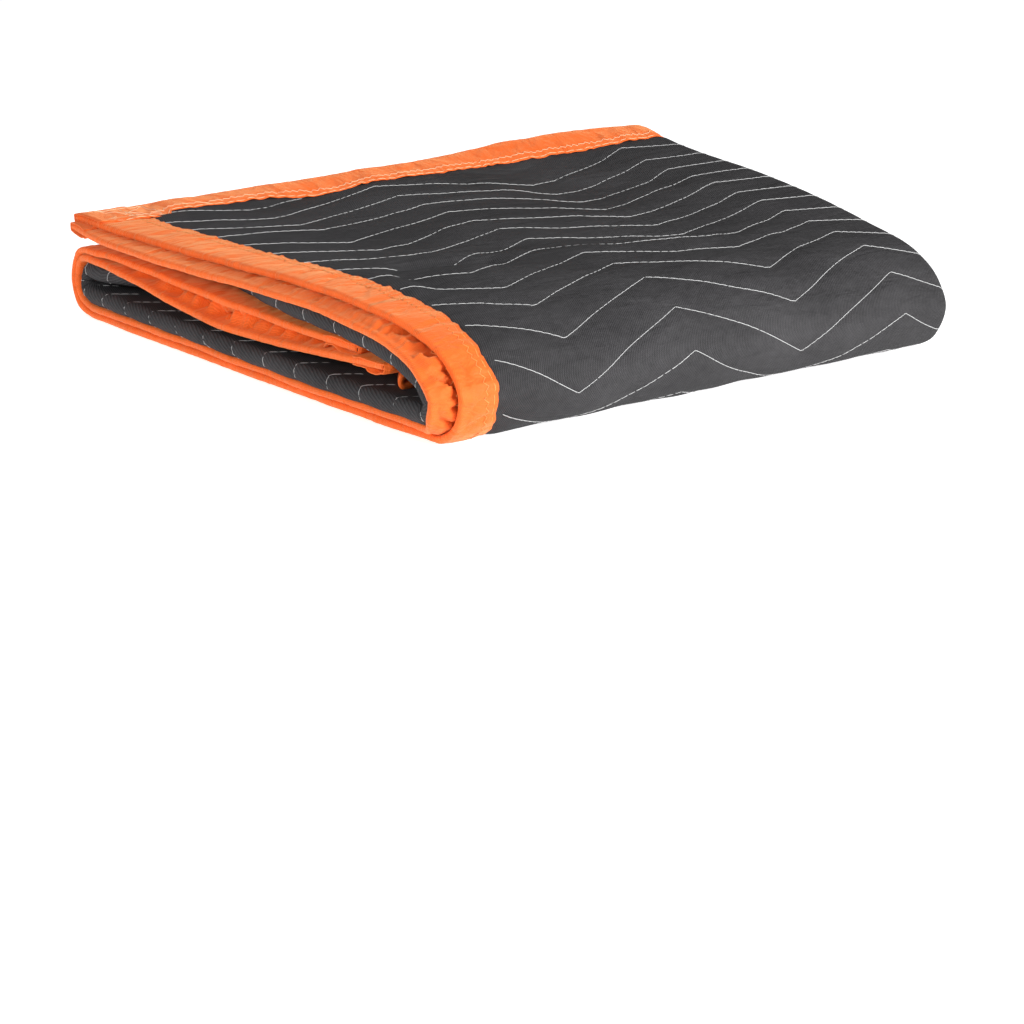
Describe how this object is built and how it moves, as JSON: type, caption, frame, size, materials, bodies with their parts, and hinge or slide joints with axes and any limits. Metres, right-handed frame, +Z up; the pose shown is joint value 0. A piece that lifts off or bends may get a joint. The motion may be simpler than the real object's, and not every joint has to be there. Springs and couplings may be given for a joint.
{
  "type": "folded quilted moving pad",
  "caption": "Quilted moving pad with a sewn edge binding, folded flat into a soft stack of layers with a tall rounded front fold and its bound edges showing at one end.",
  "frame": {"origin": "centre of the underside's bounding box, on the surface that the folded pad lies on", "axes": "+Z up out of the surface; -Y the tall front fold; -X the end where the bound side edges show"},
  "size_m": [0.499, 0.517, 0.1148],
  "materials": {
    "quilted_cloth": "charcoal woven polyester shell, matt, quilted with light grey zigzag stitching",
    "binding_tape": "orange woven polyester tape, soft sheen, sewn down near its inner edge"
  },
  "bodies": {
    "root": {"quilted_pad": "quilted_cloth", "outer_side_binding": "binding_tape", "inner_side_binding": "binding_tape", "top_end_binding": "binding_tape", "inner_end_binding": "binding_tape"}
  },
  "joints": []
}
